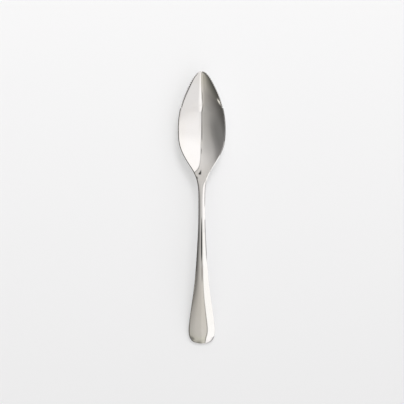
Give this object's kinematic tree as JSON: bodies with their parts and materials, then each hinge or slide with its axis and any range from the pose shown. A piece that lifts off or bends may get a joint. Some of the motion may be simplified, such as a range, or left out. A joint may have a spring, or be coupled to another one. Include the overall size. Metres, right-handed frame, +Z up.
{
  "type": "grapefruit spoon",
  "caption": "Grapefruit spoon of polished steel: pointed creased bowl with toothed front edges, slim arched neck and domed, flat-backed handle.",
  "frame": {"origin": "on the table, under the middle of the spoon's bounding box, with the spoon lying bowl up on its keel and on the end of its handle", "axes": "+Y along the spoon towards the tip of the bowl, +Z up out of the bowl, +X to the right when looking towards the tip from above"},
  "size_m": [0.029, 0.165, 0.0143],
  "materials": {
    "bowl": "mirror-polished stainless steel with fine hairlines",
    "neck": "mirror-polished stainless steel with fine hairlines",
    "handle": "mirror-polished stainless steel with fine hairlines"
  },
  "bodies": {
    "root": {"bowl": "bowl", "neck": "neck", "handle": "handle"}
  },
  "joints": []
}
